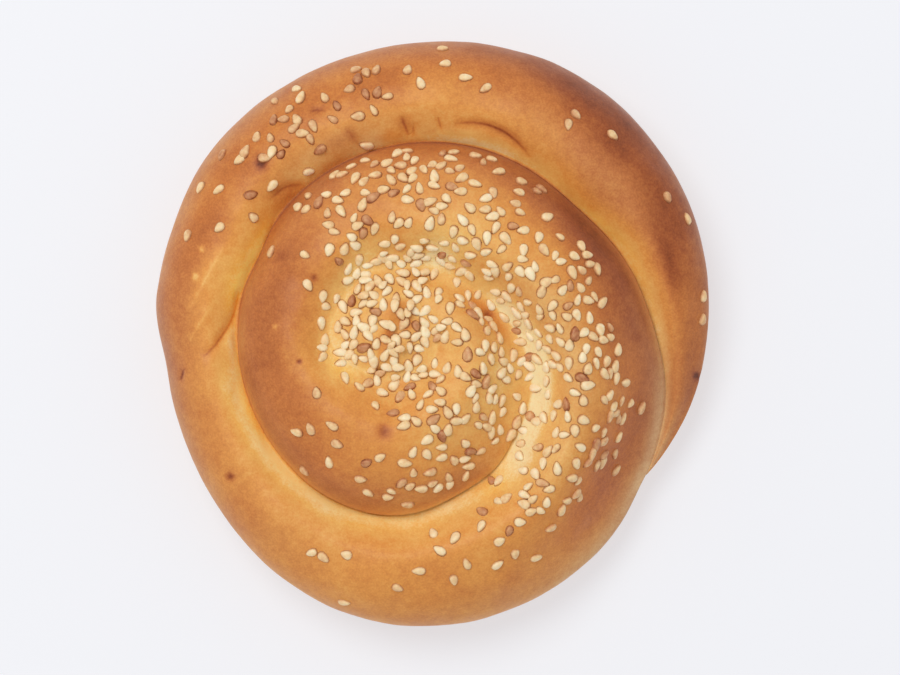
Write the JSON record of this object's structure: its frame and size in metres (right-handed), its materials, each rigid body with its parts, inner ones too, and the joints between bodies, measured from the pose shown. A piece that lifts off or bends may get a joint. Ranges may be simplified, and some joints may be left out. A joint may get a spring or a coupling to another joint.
{
  "type": "coiled brioche bun",
  "caption": "Round brioche bun wound as a flat spiral from one tapered rope of dough, with a golden-brown crust, pale creases and sesame seeds, resting on a flat base.",
  "frame": {"origin": "middle of the flat base, on the surface that the bun rests on", "axes": "+Z up through the coil; seen from above with +X to the right and +Y up, the rope winds outwards clockwise and its thin outer end closes at the right"},
  "size_m": [0.1162, 0.1228, 0.0377],
  "materials": {
    "crust": "baked dough glazed with egg, satin, golden brown with dark scorched ridges and pale creases",
    "sesame": "hulled sesame seeds, smooth and slightly glossy, cream to toasted brown"
  },
  "bodies": {
    "root": {"bun": "crust"}
  },
  "joints": []
}
